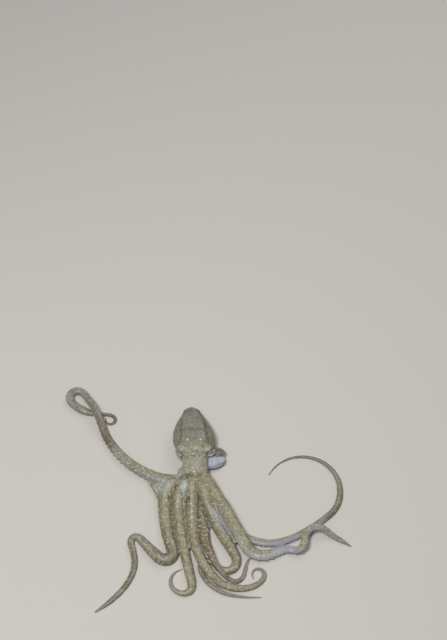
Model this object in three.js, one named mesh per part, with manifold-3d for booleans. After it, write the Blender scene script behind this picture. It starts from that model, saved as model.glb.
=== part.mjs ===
// A small intertidal octopus at life size, lying on a flat surface with its arms spread in front of it.
// Millimetres, +Z up, +Y towards the mantle's tip, so the animal faces -Y and its left side is at +X.
// Every arm is a soft tube carried along a route of bends. The routes start at the arm crown in front of
// the head, and each arm is parted by thin cuts into lengths that bend less than a half turn or so.
import * as THREE from 'three';
import { mergeVertices } from 'three/addons/utils/BufferGeometryUtils.js';
import Module from 'manifold-3d';

const wasm = await Module();
wasm.setup();

// ---------------------------------------------------------------- driving dimensions
const GAP = 0.3; // clearance left at every thin cut
const PRESS = 0.7; // height of a lying section's middle against its underside's depth: the rest is pressed flat
const ORAL_DEPTH = 0.85; // depth of an arm's sucker side against its half width
const TIP_RADIUS = 0.45; // the finest end of an arm
const SIDES = 8; // facets round an arm
const RING_STEP = 6; // longest facet along an arm
const RING_TURN = 24; // most degrees of bend between two rings of an arm
const SAMPLE = 0.5; // step of the route's own sum
const EASE = 5; // half length over which one bend runs into the next
const ROOT_DEPTH = 6; // how far an arm's root is drawn out inside the head
const WEB_THICK = [5, 1.6]; // web thickness at the crown and at its free edge

// The eight arms, right and left, numbered from the back (1) to the belly (4).
//   root, heading  where the middle of the arm leaves the crown, and its way there (0 is +X, 90 is +Y)
//   bends          [length, turn] one after another, a positive turn is anticlockwise from above
//   girth          [distance, half width]
//   roll           [distance, degrees]: 0 has the suckers down, positive turns them to the arm's right
//   settle         distance over which it comes down from its root's height onto the ground
//   sag            height of its soft section against the width, lying under its own weight
//   lifts          [from, to, height, run] where it passes over another arm, with the run up and down
//   cuts           distances of the thin cuts
const arms = {
  r4: {
    root: [-8, -2.5, 4.6], heading: 181, settle: 24, sag: 0.8,
    bends: [[35, -32], [58, -39.5], [36.5, 14.5], [18.5, 181], [27, 52], [12, 0], [20, -295]],
    girth: [
      [0, 5.4], [45, 4.6], [90, 3.5], [127, 3.3], [140, 3.7], [163, 3.5], [173, 2.4], [182, 1.7], [196, 1.4],
      [207, TIP_RADIUS],
    ],
    roll: [[0, 0], [50, -25], [110, -35], [165, -30], [185, 30]],
    lifts: [[99, 108, 4.6, 20]],
    cuts: [28, 56, 94, 126, 146, 166, 184],
  },
  r3: {
    root: [-10.9, -2.4, 5.6], heading: 195, settle: 40, sag: 0.8,
    bends: [
      [21, 71], [41, 23], [6, 0], [14.5, -155], [26.5, -5], [5, 152], [4, 10], [14, -14], [12, -26], [16, -20],
      [26, -18],
    ],
    girth: [
      [0, 5.4], [20, 5.8], [40, 4.9], [60, 4.9], [76, 5.1], [90, 4.6], [104, 3.6], [114, 2.9], [130, 2.6],
      [160, 2.3], [174, 1.9], [189, TIP_RADIUS],
    ],
    roll: [[0, 0], [70, 10], [100, 25], [130, 30]],
    lifts: [],
    cuts: [42, 62, 77, 98, 119, 152],
  },
  r2: {
    root: [-5.8, -1.5, 9], heading: 234, settle: 34, sag: 0.8,
    bends: [[27, 40], [32, 8], [35, 2], [9, -112], [3, -4], [28, -160]],
    girth: [[0, 5.1], [34, 4.6], [60, 4.2], [88, 3.7], [97, 3.3], [106, 2.2], [118, 1.6], [134, TIP_RADIUS]],
    roll: [[0, 0], [90, 0], [115, 30]],
    lifts: [],
    cuts: [34, 64, 90, 112],
  },
  r1: {
    root: [-1.2, -1.5, 10.5], heading: 266, settle: 52, sag: 0.8,
    bends: [[44, 8], [30, 20], [20, 31.5], [26, 50], [14, 46], [21, 260]],
    girth: [[0, 5.2], [34, 4.4], [60, 4.2], [90, 3.5], [108, 3], [130, 2.2], [155, TIP_RADIUS]],
    roll: [[0, 0], [110, 0], [140, -30]],
    lifts: [[68, 82, 4.8, 18]],
    cuts: [34, 62, 92, 120, 142],
  },
  l1: {
    root: [2.4, -2, 6.5], heading: 274, settle: 26, sag: 0.8,
    bends: [[55, 6.8], [30, 26], [8, 26], [13, 106], [9, 0], [8, -28]],
    girth: [[0, 4], [30, 3.9], [46, 4.2], [60, 3.6], [76, 2.3], [104, 1.9], [116, 1.4], [123, TIP_RADIUS]],
    roll: [[0, 0], [80, 0], [105, -30]],
    lifts: [[68, 86, 5, 14]],
    cuts: [34, 60, 86, 106],
  },
  l2: {
    root: [5.4, -2, 9.5], heading: 278, settle: 50, sag: 0.8,
    bends: [[30, 14], [27, 9], [16, -6], [22, -166], [7, 2], [13, 151], [14, 30], [22, 38], [22, 12]],
    girth: [
      [0, 5.2], [30, 5], [56, 4.9], [68, 4.2], [82, 3.6], [100, 2.6], [122, 2.1], [145, 1.8], [173, TIP_RADIUS],
    ],
    roll: [[0, 0], [60, 0], [90, 15], [130, 30], [165, 40]],
    lifts: [],
    cuts: [34, 68, 84, 99, 112, 128, 150],
  },
  l3: {
    root: [7.2, -2.5, 9.6], heading: 307, settle: 30, sag: 0.66,
    bends: [[37, -12], [29, 5], [23, 85], [8, 1], [13, -62], [7, 134], [5, -6], [21, -122], [25, -4]],
    girth: [
      [0, 5.6], [60, 5.3], [84, 4.8], [104, 3.5], [120, 3.2], [136, 3.2], [150, 2.7], [160, 2], [168, TIP_RADIUS],
    ],
    roll: [[0, 0], [55, 0], [80, 25], [104, 45], [118, 20], [144, 30]],
    lifts: [[30, 62, 5.2, 16], [119, 139, 5, 14]],
    cuts: [34, 64, 90, 106, 119, 142],
  },
  l4: {
    root: [8, -5, 3.4], heading: 300, settle: 20, sag: 0.66,
    bends: [[40, 1], [50, 81], [25, 15], [18, 5], [12, 30], [16, 24], [77, 149]],
    girth: [[0, 4.4], [34, 3.6], [60, 3.5], [90, 3.3], [120, 2.9], [150, 2.6], [200, 1.4], [238, TIP_RADIUS]],
    roll: [[0, 0], [40, 0], [60, 35], [105, 35], [140, 15]],
    lifts: [],
    cuts: [34, 62, 90, 125, 160, 196],
  },
};
const crownOrder = ['r4', 'r3', 'r2', 'r1', 'l1', 'l2', 'l3', 'l4'];
const webReach = [24, 30, 28, 30, 28, 31, 28]; // how far each piece of web reaches along its two arms

// The head and the mantle lie on one axis that leans a little to the animal's right towards the tip.
//   y, half width, height of the middle, half height above it, depth below it
const LEAN = -0.08;
const LEAN_FROM = 20;
const NECK_CUT = 1.2; // the thin cut between the head and the arm crown
const crownStations = [
  [-14, 6, 6.4, 4, 4],
  [-11, 9, 7, 5.2, 5.4],
  [-6, 10.6, 7.8, 6.4, 6.8],
  [NECK_CUT, 10.3, 8.3, 7.2, 7.5],
];
const headStations = [
  [NECK_CUT + GAP, 10.3, 8.3, 7.2, 7.5],
  [6, 10.4, 8.4, 7.6, 7.6],
  [14, 10.2, 8.6, 8, 8],
  [20, 11, 8.8, 8.4, 8.4],
  [25, 12, 9, 8.6, 8.8],
  [28, 10.5, 9, 7.8, 7.8],
];
const collarFlap = { centre: [17.4, 22.9, 4.8], radii: [7.4, 4.2, 2.5] }; // the loose edge over the funnel
const mantleStations = [
  [22.5, 13.6, 8.6, 8.8, 9.5],
  [26, 15.8, 8.4, 9.6, 9.8],
  [31, 17.2, 8.2, 10.2, 10],
  [36, 17.3, 8, 10.4, 10],
  [41, 16.5, 7.8, 10.2, 9.8],
  [47, 14.4, 7.4, 9.4, 9.2],
  [53, 11.4, 6.8, 8, 8.2],
  [58.5, 8.4, 6.2, 6.4, 6.8],
  [63, 6.2, 5.6, 4.6, 5],
  [65.6, 3.2, 5.2, 2.4, 2.6],
];
const eye = { x: 11.9, y: 21.4, z: 10.8, radius: 3.7 };
const eyeMound = { out: 10.7, radii: [4.9, 5.9, 5.2] }; // the raised ring of flesh that carries the eye
const funnel = {
  from: [6, 13.4, 4.8], to: [24.6, 15.6, 3.6],
  radii: [5.6, 5.7, 5.6, 5.3, 4.8], sag: 0.64, bore: 3, boreDepth: 8,
};

// ---------------------------------------------------------------- small maths
const clamp01 = (t) => Math.min(1, Math.max(0, t));
const smooth = (t) => clamp01(t) ** 2 * (3 - 2 * clamp01(t));
const radians = THREE.MathUtils.degToRad;

// Reads a table of [distance, value...] rows at one distance, easing from row to row.
function between(table, s, column = 1) {
  let i = 0;
  while (i < table.length - 2 && s > table[i + 1][0]) i += 1;
  const [low, high] = [table[i], table[i + 1]];
  const t = clamp01((s - low[0]) / (high[0] - low[0]));
  return low[column] + (high[column] - low[column]) * t;
}

// ---------------------------------------------------------------- meshes
// Joins rings of points, all of one count, into a closed skin. An end closes on its apex if one is given,
// or else on the ring's own middle.
function loft(rings, startApex = null, endApex = null) {
  const count = rings[0].length;
  const middle = (ring) => ring.reduce((sum, p) => sum.add(p), new THREE.Vector3()).divideScalar(count);
  const points = rings.flat();
  points.push(startApex ?? middle(rings[0]), endApex ?? middle(rings.at(-1)));
  const [first, last] = [points.length - 2, points.length - 1];
  const faces = [];
  for (let r = 0; r < rings.length - 1; r += 1) {
    for (let k = 0; k < count; k += 1) {
      const a = r * count + k;
      const b = r * count + ((k + 1) % count);
      faces.push([a, b, b + count], [a, b + count, a + count]);
    }
  }
  for (let k = 0; k < count; k += 1) {
    const next = (k + 1) % count;
    faces.push([first, next, k]);
    faces.push([last, (rings.length - 1) * count + k, (rings.length - 1) * count + next]);
  }
  return closedGeometry(points, faces);
}

// A BufferGeometry of these faces, turned so that they point out.
function closedGeometry(points, faces) {
  const volume = faces.reduce((sum, [a, b, c]) => (
    sum + points[a].dot(new THREE.Vector3().crossVectors(points[b], points[c]))), 0);
  const order = volume < 0 ? ([a, b, c]) => [a, c, b] : (face) => face;
  const geometry = new THREE.BufferGeometry();
  geometry.setAttribute('position', new THREE.Float32BufferAttribute(points.flatMap((p) => p.toArray()), 3));
  geometry.setIndex(faces.flatMap(order));
  return geometry;
}

function toManifold(geometry) {
  const bare = geometry.clone();
  bare.deleteAttribute('normal');
  bare.deleteAttribute('uv');
  const merged = mergeVertices(bare, 1e-4);
  return new wasm.Manifold(new wasm.Mesh({
    numProp: 3,
    vertProperties: new Float32Array(merged.attributes.position.array),
    triVerts: new Uint32Array(merged.index.array),
  }));
}

function toGeometry(solid) {
  const mesh = solid.getMesh();
  const geometry = new THREE.BufferGeometry();
  geometry.setAttribute('position', new THREE.BufferAttribute(new Float32Array(mesh.vertProperties), 3));
  geometry.setIndex(new THREE.BufferAttribute(new Uint32Array(mesh.triVerts), 1));
  return geometry;
}

const joined = (geometries) => geometries.map(toManifold).reduce((sum, solid) => sum.add(solid));

// ---------------------------------------------------------------- the arms
const armLength = (arm) => arm.bends.reduce((sum, [length]) => sum + length, 0);

// The route in plan: the heading turns steadily through each bend, eased over EASE at both ends.
function routeOf(arm) {
  const length = armLength(arm);
  const headingAt = (s) => {
    let heading = arm.heading;
    let from = 0;
    for (const [span, turn] of arm.bends) {
      heading += turn * clamp01((s - from) / span);
      from += span;
    }
    return heading;
  };
  const window = Math.round(EASE / SAMPLE);
  const easedHeading = (s) => {
    let sum = 0;
    for (let k = -window; k <= window; k += 1) sum += headingAt(s + k * SAMPLE);
    return sum / (2 * window + 1);
  };
  const samples = [];
  let [x, y] = arm.root;
  for (let i = 0; i <= Math.round(length / SAMPLE); i += 1) {
    const heading = radians(easedHeading(i * SAMPLE));
    samples.push({ x, y, heading });
    const next = radians(easedHeading((i + 0.5) * SAMPLE));
    x += SAMPLE * Math.cos(next);
    y += SAMPLE * Math.sin(next);
  }
  return samples;
}

// One ring of an arm: a near-circle, deeper on its back than on its sucker side, rolled, sagged, set on
// the ground or at its height, with whatever would lie below the ground pressed flat.
function armRing(arm, s) {
  const exact = Math.min(s / SAMPLE, arm.route.length - 1);
  const low = Math.min(Math.floor(exact), arm.route.length - 2);
  const [a, b] = [arm.route[low], arm.route[low + 1]];
  const mix = (key) => a[key] + (b[key] - a[key]) * (exact - low);
  const heading = mix('heading');
  const half = between(arm.girth, s);
  const roll = radians(between(arm.roll, s));
  const section = [];
  for (let k = 0; k < SIDES; k += 1) {
    const angle = (k * 2 * Math.PI) / SIDES;
    const across = half * Math.cos(angle);
    const up = half * Math.sin(angle) * (Math.sin(angle) < 0 ? ORAL_DEPTH : 1);
    section.push([
      across * Math.cos(roll) + up * Math.sin(roll),
      (up * Math.cos(roll) - across * Math.sin(roll)) * arm.sag,
    ]);
  }
  const rest = -PRESS * Math.min(...section.map(([, up]) => up));
  const rootRise = arm.root[2] - between(arm.girth, 0) * ORAL_DEPTH * arm.sag * PRESS;
  let height = rest + rootRise * (1 - smooth(s / arm.settle));
  for (const [start, end, rise, run] of arm.lifts) {
    height += rise * smooth((s - start + run) / run) * (1 - smooth((s - end) / run));
  }
  return section.map(([across, up]) => new THREE.Vector3(
    mix('x') - across * Math.sin(heading),
    mix('y') + across * Math.cos(heading),
    Math.max(0, height + up),
  ));
}

// Distances of the rings between two places on an arm, closer together where it bends.
function ringPlaces(arm, from, to) {
  const places = [from];
  let last = from;
  for (let s = from; s < to; s += SAMPLE) {
    const turned = Math.abs(headingOf(arm, s) - headingOf(arm, last));
    if (s - last >= RING_STEP || turned >= radians(RING_TURN)) {
      places.push(s);
      last = s;
    }
  }
  if (to - last < RING_STEP / 3 && places.length > 1) places.pop();
  places.push(to);
  return places;
}

const headingOf = (arm, s) => arm.route[Math.min(arm.route.length - 1, Math.round(s / SAMPLE))].heading;

// The middle of a ring, moved along the arm.
function ringMiddle(arm, ring, s, ahead) {
  const heading = headingOf(arm, s);
  return ring.reduce((sum, p) => sum.add(p), new THREE.Vector3()).divideScalar(SIDES)
    .add(new THREE.Vector3(Math.cos(heading), Math.sin(heading), 0).multiplyScalar(ahead));
}

// The length of an arm between two places. The root draws together inside the head, and the tip is blunt.
function armLengthGeometry(arm, from, to) {
  const rings = ringPlaces(arm, from, to).map((s) => armRing(arm, s));
  const start = from === 0 ? ringMiddle(arm, rings[0], from, -ROOT_DEPTH) : null;
  const end = to >= armLength(arm) ? ringMiddle(arm, rings.at(-1), to, TIP_RADIUS) : null;
  return loft(rings, start, end);
}

for (const arm of Object.values(arms)) arm.route = routeOf(arm);

// ---------------------------------------------------------------- head and mantle
// A body of elliptical sections along +Y from a station table, flattened where it meets the ground.
// A cut end is flat, and any other end is rounded off by its apex.
function bodyGeometry(stations, sides, rows, { grow = 0, cutStart = false, cutEnd = false } = {}) {
  const [start, end] = [stations[0][0], stations.at(-1)[0]];
  const rings = [];
  for (let r = 0; r <= rows; r += 1) {
    const y = start + ((end - start) * r) / rows;
    const [half, z, above, below] = [1, 2, 3, 4].map((column) => between(stations, y, column));
    const x = LEAN * Math.max(0, y - LEAN_FROM);
    const ring = [];
    for (let k = 0; k < sides; k += 1) {
      const angle = (k * 2 * Math.PI) / sides;
      const depth = Math.sin(angle) < 0 ? below : above;
      ring.push(new THREE.Vector3(
        x + (half + grow) * Math.cos(angle),
        y,
        Math.max(0, z + (depth + grow) * Math.sin(angle)),
      ));
    }
    rings.push(ring);
  }
  const apex = (ring, sign) => {
    const middle = ring.reduce((sum, p) => sum.add(p), new THREE.Vector3()).divideScalar(sides);
    middle.y += sign * (1 + grow);
    return middle;
  };
  return loft(rings, cutStart ? null : apex(rings[0], -1), cutEnd ? null : apex(rings.at(-1), 1));
}

function ellipsoid(centre, radii, across = 12, down = 8) {
  const geometry = new THREE.SphereGeometry(1, across, down);
  geometry.scale(...radii);
  geometry.translate(...centre);
  return geometry;
}

const eyeCentre = (side) => [side * eye.x + LEAN * (eye.y - LEAN_FROM), eye.y, eye.z];

function headSolid(grow = 0) {
  const mounds = [-1, 1].map((side) => ellipsoid(
    [side * eyeMound.out, eye.y, eye.z - 0.4], eyeMound.radii.map((r) => r + grow)));
  return joined([bodyGeometry(headStations, 16, 8, { grow, cutStart: true }), ...mounds]);
}

// The mantle, with the loose edge of its collar that lies over the funnel.
function mantleSolid(grow = 0) {
  const flap = ellipsoid(collarFlap.centre, collarFlap.radii.map((r) => r + grow), 12, 6);
  return joined([bodyGeometry(mantleStations, 20, 11, { grow }), flap]);
}

// ---------------------------------------------------------------- arm crown
// The web between two neighbouring arms: a wedge that thins towards its free edge.
function webGeometry(first, second, reach) {
  const rows = 4;
  const rings = [];
  for (let r = 0; r <= rows; r += 1) {
    const s = (reach * r) / rows;
    const half = (WEB_THICK[0] + ((WEB_THICK[1] - WEB_THICK[0]) * r) / rows) / 2;
    const [a, b] = [first, second].map((arm) => armRing(arm, s)
      .reduce((sum, p) => sum.add(p), new THREE.Vector3()).divideScalar(SIDES));
    const corner = (p, up) => new THREE.Vector3(p.x, p.y, Math.max(0, p.z + up));
    rings.push([corner(a, half), corner(b, half), corner(b, -half), corner(a, -half)]);
  }
  return loft(rings);
}

// The eight arm roots, the webs between them and the front of the head they grow from, cut off at the neck.
function crownSolid() {
  const roots = crownOrder.map((name) => armLengthGeometry(arms[name], 0, arms[name].cuts[0] - GAP / 2));
  const webs = webReach.map((reach, i) => webGeometry(arms[crownOrder[i]], arms[crownOrder[i + 1]], reach));
  const front = bodyGeometry(crownStations, 16, 6, { cutEnd: true });
  const behind = new THREE.BoxGeometry(2 * (crownStations.at(-1)[1] + GAP), 40, 60)
    .translate(0, NECK_CUT + 20, 0);
  return joined([front, ...roots, ...webs]).subtract(toManifold(behind));
}

// ---------------------------------------------------------------- funnel
function funnelSolid() {
  const [from, to] = [funnel.from, funnel.to].map((p) => new THREE.Vector3(...p));
  const along = to.clone().sub(from);
  const side = new THREE.Vector3().crossVectors(along, new THREE.Vector3(0, 0, 1)).normalize();
  const up = new THREE.Vector3().crossVectors(side, along).normalize();
  const ringAt = (t, radius) => {
    const ring = [];
    for (let k = 0; k < 12; k += 1) {
      const angle = (k * Math.PI) / 6;
      const p = from.clone().addScaledVector(along, t)
        .addScaledVector(side, radius * Math.cos(angle))
        .addScaledVector(up, radius * funnel.sag * Math.sin(angle));
      p.z = Math.max(0, p.z);
      ring.push(p);
    }
    return ring;
  };
  const steps = funnel.radii.length - 1;
  const tube = loft(funnel.radii.map((radius, i) => ringAt(i / steps, radius)));
  const deep = 1 - funnel.boreDepth / along.length();
  const bore = loft([ringAt(deep, funnel.bore), ringAt(1.1, funnel.bore * 1.15)]);
  return toManifold(tube).subtract(toManifold(bore));
}

// ---------------------------------------------------------------- materials
const skin = new THREE.MeshStandardMaterial({ color: 0x938e77, roughness: 0.5, metalness: 0 });
const mantleSkin = new THREE.MeshStandardMaterial({ color: 0x8b8873, roughness: 0.5, metalness: 0 });
const paleSkin = new THREE.MeshStandardMaterial({ color: 0xa9aac2, roughness: 0.45, metalness: 0 });
const eyeSilver = new THREE.MeshStandardMaterial({ color: 0x7d8788, roughness: 0.15, metalness: 0 });

// ---------------------------------------------------------------- assembly
function piece(name, geometry, material) {
  const mesh = new THREE.Mesh(geometry, material);
  mesh.name = name;
  return mesh;
}

const head = headSolid();
const grownHead = headSolid(GAP);
const mantle = mantleSolid();
const grownMantle = mantleSolid(GAP);
const sockets = [-1, 1].map((side) => toManifold(ellipsoid(eyeCentre(side), Array(3).fill(eye.radius + GAP))));

const octopus = new THREE.Group();
octopus.add(piece('mantle', toGeometry(mantle.subtract(grownHead)), mantleSkin));
octopus.add(piece('head', toGeometry(sockets.reduce((solid, socket) => solid.subtract(socket), head)), skin));
octopus.add(piece('arm_crown', toGeometry(crownSolid()), skin));
octopus.add(piece('funnel', toGeometry(funnelSolid().subtract(grownHead).subtract(grownMantle)), paleSkin));
for (const [name, side] of [['eye_right', -1], ['eye_left', 1]]) {
  octopus.add(piece(name, ellipsoid(eyeCentre(side), Array(3).fill(eye.radius), 12, 8), eyeSilver));
}
for (const [name, arm] of Object.entries(arms)) {
  const ends = [...arm.cuts, armLength(arm)];
  arm.cuts.forEach((from, i) => {
    const isTip = i === arm.cuts.length - 1;
    const to = isTip ? ends[i + 1] : ends[i + 1] - GAP / 2;
    octopus.add(piece(`arm_${name}_${i + 1}`, armLengthGeometry(arm, from + GAP / 2, to), skin));
  });
}

// The origin is the middle of the base: halfway along and across, on the ground.
const box = new THREE.Box3().setFromObject(octopus);
const middle = box.getCenter(new THREE.Vector3());
octopus.position.set(-middle.x, -middle.y, -box.min.z);

export default octopus;
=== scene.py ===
# %% [markdown]
# # A small shore octopus, lying where the tide left it
# The solids fix where every part of the animal lies. A living octopus has no seams, though: one soft skin
# runs from the mantle over the head and down all eight arms. So this lesson works out the same parts
# again as smooth surfaces, grows them together into one skin, and then adds eyes, suckers and colour.

import bpy
import numpy as np
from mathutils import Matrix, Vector


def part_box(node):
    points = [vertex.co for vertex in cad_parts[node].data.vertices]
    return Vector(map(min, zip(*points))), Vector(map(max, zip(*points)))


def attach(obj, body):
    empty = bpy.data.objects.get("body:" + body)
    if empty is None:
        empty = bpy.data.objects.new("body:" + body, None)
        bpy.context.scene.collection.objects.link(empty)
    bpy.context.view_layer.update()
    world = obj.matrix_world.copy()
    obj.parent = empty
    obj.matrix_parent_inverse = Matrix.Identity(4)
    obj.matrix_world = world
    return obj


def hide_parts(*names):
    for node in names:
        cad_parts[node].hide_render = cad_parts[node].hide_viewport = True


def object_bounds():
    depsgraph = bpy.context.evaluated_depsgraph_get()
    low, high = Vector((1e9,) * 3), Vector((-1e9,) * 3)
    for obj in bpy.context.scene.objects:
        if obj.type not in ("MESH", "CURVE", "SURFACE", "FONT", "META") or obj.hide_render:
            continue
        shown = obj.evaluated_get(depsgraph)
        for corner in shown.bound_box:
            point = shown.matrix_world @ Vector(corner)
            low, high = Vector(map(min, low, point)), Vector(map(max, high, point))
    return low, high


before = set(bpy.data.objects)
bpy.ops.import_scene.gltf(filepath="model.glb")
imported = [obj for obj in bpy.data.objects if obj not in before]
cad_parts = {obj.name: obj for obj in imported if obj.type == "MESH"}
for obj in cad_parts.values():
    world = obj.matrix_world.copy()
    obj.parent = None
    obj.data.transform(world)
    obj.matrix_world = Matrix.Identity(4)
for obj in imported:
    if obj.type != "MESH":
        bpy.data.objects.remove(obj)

solid_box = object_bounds()
print("solids:", len(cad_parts))
print("their box (mm):", [round(1000 * v, 1) for corner in solid_box for v in corner])

# %% [markdown]
# ## Where things are measured from
# Every size below is in millimetres from the ground under the arm crown, with +Y towards the mantle's tip.
# The left eye's solid tells how far that point is from the middle of the whole animal.

# %% The eyes' named sizes, and the crown's place
LEAN, LEAN_FROM = -0.08, 20
EYE_CENTRE, EYE_RADIUS = (11.9, 21.4, 10.8), 3.7


def eye_centre(side):
    """The eye's middle on one side, moved over by the body's lean."""
    x, y, z = EYE_CENTRE
    return np.array([side * x + LEAN * (y - LEAN_FROM), y, z])


CROWN = 500 * np.array(sum(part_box("eye_left"), Vector())) - eye_centre(1)
print("crown stands at (mm):", CROWN.round(2))

# %% [markdown]
# ## Small tools
# A few helpers do most of the shaping: a soft step, a bell, the angles round a ring, a table read
# smoothly, and a field of soft lumps.

# %% Soft step, bell, ring, smooth tables, soft lumps
def soft_step(low, high, value):
    """0 below low, 1 above high, and an S-shaped rise between; low may be the larger."""
    t = np.clip((value - low) / (high - low), 0, 1)
    return t * t * (3 - 2 * t)


def bump_at(place, width, value):
    """A bell of height 1 at a place, that falls to about a third one width away."""
    return np.exp(-(((value - place) / width) ** 2))


def circle(count):
    """So many angles, evenly round a ring."""
    return np.linspace(0, 2 * np.pi, count, endpoint=False)


def smooth_table(rows, at):
    """Reads rows of (place, values) with a cubic through each row, sloped as its neighbours are."""
    rows = np.asarray(rows, float)
    places, values = rows[:, 0], rows[:, 1:]
    slopes = np.gradient(values, places, axis=0)
    i = np.clip(np.searchsorted(places, at, side="right") - 1, 0, len(places) - 2)
    span = places[i + 1] - places[i]
    t = np.clip((at - places[i]) / span, 0, 1)[:, None]
    span = span[:, None]
    return (
        (2 * t**3 - 3 * t**2 + 1) * values[i] + (t**3 - 2 * t**2 + t) * span * slopes[i]
        + (3 * t**2 - 2 * t**3) * values[i + 1] + (t**3 - t**2) * span * slopes[i + 1]
    )


LATTICE_VALUES, SCRAMBLE = 4096, np.array((73856093, 19349663, 83492791))


def lumps(points, size, seed):
    """Soft lumps from -1 to 1: seeded random values on a cubic lattice of that size, blended smoothly. A
    corner's value is found by scrambling its three whole numbers into one place of the list."""
    values = np.random.default_rng(seed).uniform(-1, 1, LATTICE_VALUES)
    cell = np.floor(points / size).astype(np.int64)
    part = points / size - cell
    part = part * part * (3 - 2 * part)
    total = np.zeros(len(points))
    for corner in np.ndindex(2, 2, 2):
        key = np.bitwise_xor.reduce((cell + corner) * SCRAMBLE, axis=1)
        weight = np.prod(np.where(np.array(corner) == 1, part, 1 - part), axis=1)
        total += weight * values[key % LATTICE_VALUES]
    return total


sample = lumps(np.random.default_rng(1).uniform(0, 99, (999, 3)), 3, 1)
print("lumps from %.2f to %.2f" % tuple(np.percentile(sample, (1, 99))))

# %% [markdown]
# ## The arms' routes
# An arm has no bones, so it lies in whatever bends it was left in. Each is described as someone would walk
# it: go so far while turning so much. Half widths, the roll of the sucker side, and the places where an
# arm climbs over another are small tables of distance along the arm. They are the solids' own values.

# %% The eight arms
TIP = 0.45  # half width at the very end, in mm
# root: x, y, z. heading: degrees from +X. settle: how far from the head the arm comes down to the ground.
# bends: length, degrees turned. girth: distance, half width. roll: distance, degrees.
# lifts: from, to, rise, and the length of the climb before and after.
ARMS = {
    "r4": dict(
        root=(-8, -2.5, 4.6), heading=181, settle=24, sag=0.8,
        bends=[(35, -32), (58, -39.5), (36.5, 14.5), (18.5, 181), (27, 52), (12, 0), (20, -295)],
        girth=[(0, 5.4), (45, 4.6), (90, 3.5), (127, 3.3), (140, 3.7), (163, 3.5), (173, 2.4), (182, 1.7),
               (196, 1.4), (207, TIP)],
        roll=[(0, 0), (50, -25), (110, -35), (165, -30), (185, 30)],
        lifts=[(99, 108, 4.6, 20)]),
    "r3": dict(
        root=(-10.9, -2.4, 5.6), heading=195, settle=40, sag=0.8,
        bends=[(21, 71), (41, 23), (6, 0), (14.5, -155), (26.5, -5), (5, 152), (4, 10), (14, -14),
               (12, -26), (16, -20), (26, -18)],
        girth=[(0, 5.4), (20, 5.8), (40, 4.9), (60, 4.9), (76, 5.1), (90, 4.6), (104, 3.6), (114, 2.9),
               (130, 2.6), (160, 2.3), (174, 1.9), (189, TIP)],
        roll=[(0, 0), (70, 10), (100, 25), (130, 30)],
        lifts=[]),
    "r2": dict(
        root=(-5.8, -1.5, 9), heading=234, settle=34, sag=0.8,
        bends=[(27, 40), (32, 8), (35, 2), (9, -112), (3, -4), (28, -160)],
        girth=[(0, 5.1), (34, 4.6), (60, 4.2), (88, 3.7), (97, 3.3), (106, 2.2), (118, 1.6), (134, TIP)],
        roll=[(0, 0), (90, 0), (115, 30)],
        lifts=[]),
    "r1": dict(
        root=(-1.2, -1.5, 10.5), heading=266, settle=52, sag=0.8,
        bends=[(44, 8), (30, 20), (20, 31.5), (26, 50), (14, 46), (21, 260)],
        girth=[(0, 5.2), (34, 4.4), (60, 4.2), (90, 3.5), (108, 3), (130, 2.2), (155, TIP)],
        roll=[(0, 0), (110, 0), (140, -30)],
        lifts=[(68, 82, 4.8, 18)]),
    "l1": dict(
        root=(2.4, -2, 6.5), heading=274, settle=26, sag=0.8,
        bends=[(55, 6.8), (30, 26), (8, 26), (13, 106), (9, 0), (8, -28)],
        girth=[(0, 4), (30, 3.9), (46, 4.2), (60, 3.6), (76, 2.3), (104, 1.9), (116, 1.4), (123, TIP)],
        roll=[(0, 0), (80, 0), (105, -30)],
        lifts=[(68, 86, 5, 14)]),
    "l2": dict(
        root=(5.4, -2, 9.5), heading=278, settle=50, sag=0.8,
        bends=[(30, 14), (27, 9), (16, -6), (22, -166), (7, 2), (13, 151), (14, 30), (22, 38), (22, 12)],
        girth=[(0, 5.2), (30, 5), (56, 4.9), (68, 4.2), (82, 3.6), (100, 2.6), (122, 2.1), (145, 1.8),
               (173, TIP)],
        roll=[(0, 0), (60, 0), (90, 15), (130, 30), (165, 40)],
        lifts=[]),
    "l3": dict(
        root=(7.2, -2.5, 9.6), heading=307, settle=30, sag=0.66,
        bends=[(37, -12), (29, 5), (23, 85), (8, 1), (13, -62), (7, 134), (5, -6), (21, -122), (25, -4)],
        girth=[(0, 5.6), (60, 5.3), (84, 4.8), (104, 3.5), (120, 3.2), (136, 3.2), (150, 2.7), (160, 2),
               (168, TIP)],
        roll=[(0, 0), (55, 0), (80, 25), (104, 45), (118, 20), (144, 30)],
        lifts=[(30, 62, 5.2, 16), (119, 139, 5, 14)]),
    "l4": dict(
        root=(8, -5, 3.4), heading=300, settle=20, sag=0.66,
        bends=[(40, 1), (50, 81), (25, 15), (18, 5), (12, 30), (16, 24), (77, 149)],
        girth=[(0, 4.4), (34, 3.6), (60, 3.5), (90, 3.3), (120, 2.9), (150, 2.6), (200, 1.4), (238, TIP)],
        roll=[(0, 0), (40, 0), (60, 35), (105, 35), (140, 15)],
        lifts=[]),
}
print("arms:", ", ".join(ARMS))

# %% Walking the routes
STEP, EASE = 0.5, 5  # the walk's step, and half the length over which one bend runs into the next


def walk(arm):
    """The route in plan: the heading turns evenly through each bend, averaged over twice EASE."""
    lengths, turns = np.array(arm["bends"], float).T
    knots = np.r_[0, np.cumsum(lengths)]
    headings = arm["heading"] + np.r_[0, np.cumsum(turns)]
    window = np.arange(-EASE, EASE + STEP / 2, STEP)

    def heading_at(s):
        """The mean heading over a window about each distance."""
        return np.radians(np.interp(s[:, None] + window, knots, headings).mean(1))

    s = np.arange(0, knots[-1] + STEP / 2, STEP)
    way = heading_at(s[:-1] + STEP / 2)
    x = arm["root"][0] + np.r_[0, np.cumsum(np.cos(way))] * STEP
    y = arm["root"][1] + np.r_[0, np.cumsum(np.sin(way))] * STEP
    return dict(s=s, x=x, y=y, heading=heading_at(s), length=s[-1])


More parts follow.
